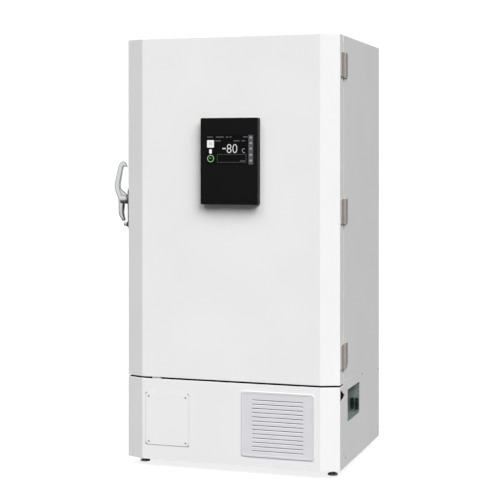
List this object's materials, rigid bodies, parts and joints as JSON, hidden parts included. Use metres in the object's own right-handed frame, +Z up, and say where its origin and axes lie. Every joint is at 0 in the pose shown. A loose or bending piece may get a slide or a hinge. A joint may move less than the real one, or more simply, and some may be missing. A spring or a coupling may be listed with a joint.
{
  "type": "ultra low temperature freezer",
  "caption": "Upright ultra low temperature freezer with an insulated lever-latched door, inner doors, shelved chamber, raised control panel, and a base holding the refrigeration unit.",
  "frame": {"origin": "on the floor, under the middle of the overall footprint (door lever to hinges, control panel to wall spacers)", "axes": "+X to the right as seen from the front, +Y to the back, +Z up"},
  "size_m": [1.1177, 0.92, 1.993],
  "materials": {
    "white_enamel": "gloss",
    "foam": "matte",
    "frame_plastic": "satin",
    "stainless": "satin",
    "gasket_rubber": "matte",
    "hinge_metal": "satin",
    "cast_chrome": "polished",
    "handle_metal": "satin",
    "black_plastic": "satin",
    "black_gloss": "gloss",
    "display_glass": "gloss",
    "chassis_steel": "satin",
    "zinc_steel": "satin",
    "caster_tread": "matte",
    "filter_mesh": "matte",
    "coil_aluminium": "satin"
  },
  "bodies": {
    "cabinet": {"outer_case": "white_enamel", "front_frame": "frame_plastic", "inner_liner": "stainless", "insulation": "foam", "rear_panel": "white_enamel", "access_port": "black_plastic", "wall_spacers": "zinc_steel", "shelf_pilasters": "stainless", "shelves": "stainless", "inner_hinges": "stainless", "frame_hinge_leaves": "hinge_metal", "latch_strike": "stainless", "base_front_cover": "white_enamel", "base_side_left": "white_enamel", "base_side_right": "white_enamel", "base_frame": "chassis_steel", "access_plate": "white_enamel", "cover_screws": "zinc_steel", "door_rest": "frame_plastic", "service_recess": "zinc_steel", "switch_bodies": "black_plastic", "condenser": "coil_aluminium", "fan_shroud": "chassis_steel", "compressors": "chassis_steel", "base_rear_panel": "white_enamel", "power_inlet": "black_plastic"},
    "door": {"door_skin": "white_enamel", "door_core": "foam", "door_liner": "frame_plastic", "door_gasket": "gasket_rubber", "door_hinge_leaves": "hinge_metal", "handle_plate": "handle_metal", "panel_housing": "black_plastic", "panel_face": "black_gloss", "panel_display": "display_glass"},
    "lever": {"handle_lever": "cast_chrome", "latch_tongue": "stainless"},
    "lock": {"key_lock": "cast_chrome"},
    "inner_upper": {"inner_door_upper": "frame_plastic", "inner_gasket_upper": "gasket_rubber", "inner_pull_upper": "black_plastic"},
    "inner_lower": {"inner_door_lower": "frame_plastic", "inner_gasket_lower": "gasket_rubber", "inner_pull_lower": "black_plastic"},
    "grille": {"intake_grille": "frame_plastic", "air_filter": "filter_mesh"},
    "fan": {"fan_rotor": "black_plastic"},
    "levelling_foot_left": {"foot_left": "zinc_steel"},
    "levelling_foot_right": {"foot_right": "zinc_steel"},
    "power_toggle": {"power_switch": "black_plastic"},
    "battery_toggle": {"battery_switch": "black_plastic"},
    "caster_front_left": {"caster_fork_front_left": "zinc_steel"},
    "wheel_front_left": {"caster_wheel_front_left": "caster_tread"},
    "caster_front_right": {"caster_fork_front_right": "zinc_steel"},
    "wheel_front_right": {"caster_wheel_front_right": "caster_tread"},
    "caster_rear_left": {"caster_fork_rear_left": "zinc_steel"},
    "wheel_rear_left": {"caster_wheel_rear_left": "caster_tread"},
    "caster_rear_right": {"caster_fork_rear_right": "zinc_steel"},
    "wheel_rear_right": {"caster_wheel_rear_right": "caster_tread"}
  },
  "joints": [
    {"name": "door_hinge", "type": "hinge", "parent": "cabinet", "child": "door", "pos_m": [0.55225, -0.331, 1.2], "axis": [0, 0, 1], "range_deg": [0, 120]},
    {"name": "inner_upper_hinge", "type": "hinge", "parent": "cabinet", "child": "inner_upper", "pos_m": [0.47475, -0.309, 1.57], "axis": [0, 0, 1], "range_deg": [0, 90]},
    {"name": "inner_lower_hinge", "type": "hinge", "parent": "cabinet", "child": "inner_lower", "pos_m": [0.47475, -0.309, 0.85], "axis": [0, 0, 1], "range_deg": [0, 90]},
    {"name": "lever_turn", "type": "hinge", "parent": "door", "child": "lever", "pos_m": [-0.49775, -0.367, 1.244], "axis": [1, 0, 0], "range_deg": [0, 70]},
    {"name": "key_turn", "type": "hinge", "parent": "door", "child": "lock", "pos_m": [-0.49775, -0.367, 1.125], "axis": [1, 0, 0], "range_deg": [0, 90]},
    {"name": "grille_pull", "type": "slide", "parent": "cabinet", "child": "grille", "axis": [0, -1, 0], "range_m": [0, 0.06]},
    {"name": "fan_spin", "type": "hinge", "parent": "cabinet", "child": "fan", "pos_m": [0.26275, -0.3, 0.229], "axis": [0, 1, 0], "continuous": true},
    {"name": "foot_left_turn", "type": "hinge", "parent": "cabinet", "child": "levelling_foot_left", "pos_m": [-0.42675, -0.312, 0], "axis": [0, 0, 1], "continuous": true},
    {"name": "foot_right_turn", "type": "hinge", "parent": "cabinet", "child": "levelling_foot_right", "pos_m": [0.49125, -0.312, 0], "axis": [0, 0, 1], "continuous": true},
    {"name": "power_toggle_turn", "type": "hinge", "parent": "cabinet", "child": "power_toggle", "pos_m": [0.53325, -0.015, 0.273], "axis": [1, 0, 0], "range_deg": [0, 40]},
    {"name": "battery_toggle_turn", "type": "hinge", "parent": "cabinet", "child": "battery_toggle", "pos_m": [0.51025, -0.015, 0.273], "axis": [1, 0, 0], "range_deg": [0, 40]},
    {"name": "caster_front_left_swivel", "type": "hinge", "parent": "cabinet", "child": "caster_front_left", "pos_m": [-0.39075, -0.207, 0.089], "axis": [0, 0, 1], "continuous": true},
    {"name": "wheel_front_left_spin", "type": "hinge", "parent": "caster_front_left", "child": "wheel_front_left", "pos_m": [-0.39075, -0.185, 0.038], "axis": [1, 0, 0], "continuous": true},
    {"name": "caster_front_right_swivel", "type": "hinge", "parent": "cabinet", "child": "caster_front_right", "pos_m": [0.45525, -0.207, 0.089], "axis": [0, 0, 1], "continuous": true},
    {"name": "wheel_front_right_spin", "type": "hinge", "parent": "caster_front_right", "child": "wheel_front_right", "pos_m": [0.45525, -0.185, 0.038], "axis": [1, 0, 0], "continuous": true},
    {"name": "caster_rear_left_swivel", "type": "hinge", "parent": "cabinet", "child": "caster_rear_left", "pos_m": [-0.39075, 0.328, 0.086], "axis": [0, 0, 1], "continuous": true},
    {"name": "wheel_rear_left_spin", "type": "hinge", "parent": "caster_rear_left", "child": "wheel_rear_left", "pos_m": [-0.39075, 0.35, 0.035], "axis": [1, 0, 0], "continuous": true},
    {"name": "caster_rear_right_swivel", "type": "hinge", "parent": "cabinet", "child": "caster_rear_right", "pos_m": [0.45525, 0.328, 0.086], "axis": [0, 0, 1], "continuous": true},
    {"name": "wheel_rear_right_spin", "type": "hinge", "parent": "caster_rear_right", "child": "wheel_rear_right", "pos_m": [0.45525, 0.35, 0.035], "axis": [1, 0, 0], "continuous": true}
  ],
  "couplings": [
    {"joint": "inner_upper_hinge", "follows": "door_hinge", "ratio": 0.75},
    {"joint": "inner_lower_hinge", "follows": "door_hinge", "ratio": 0.75}
  ]
}
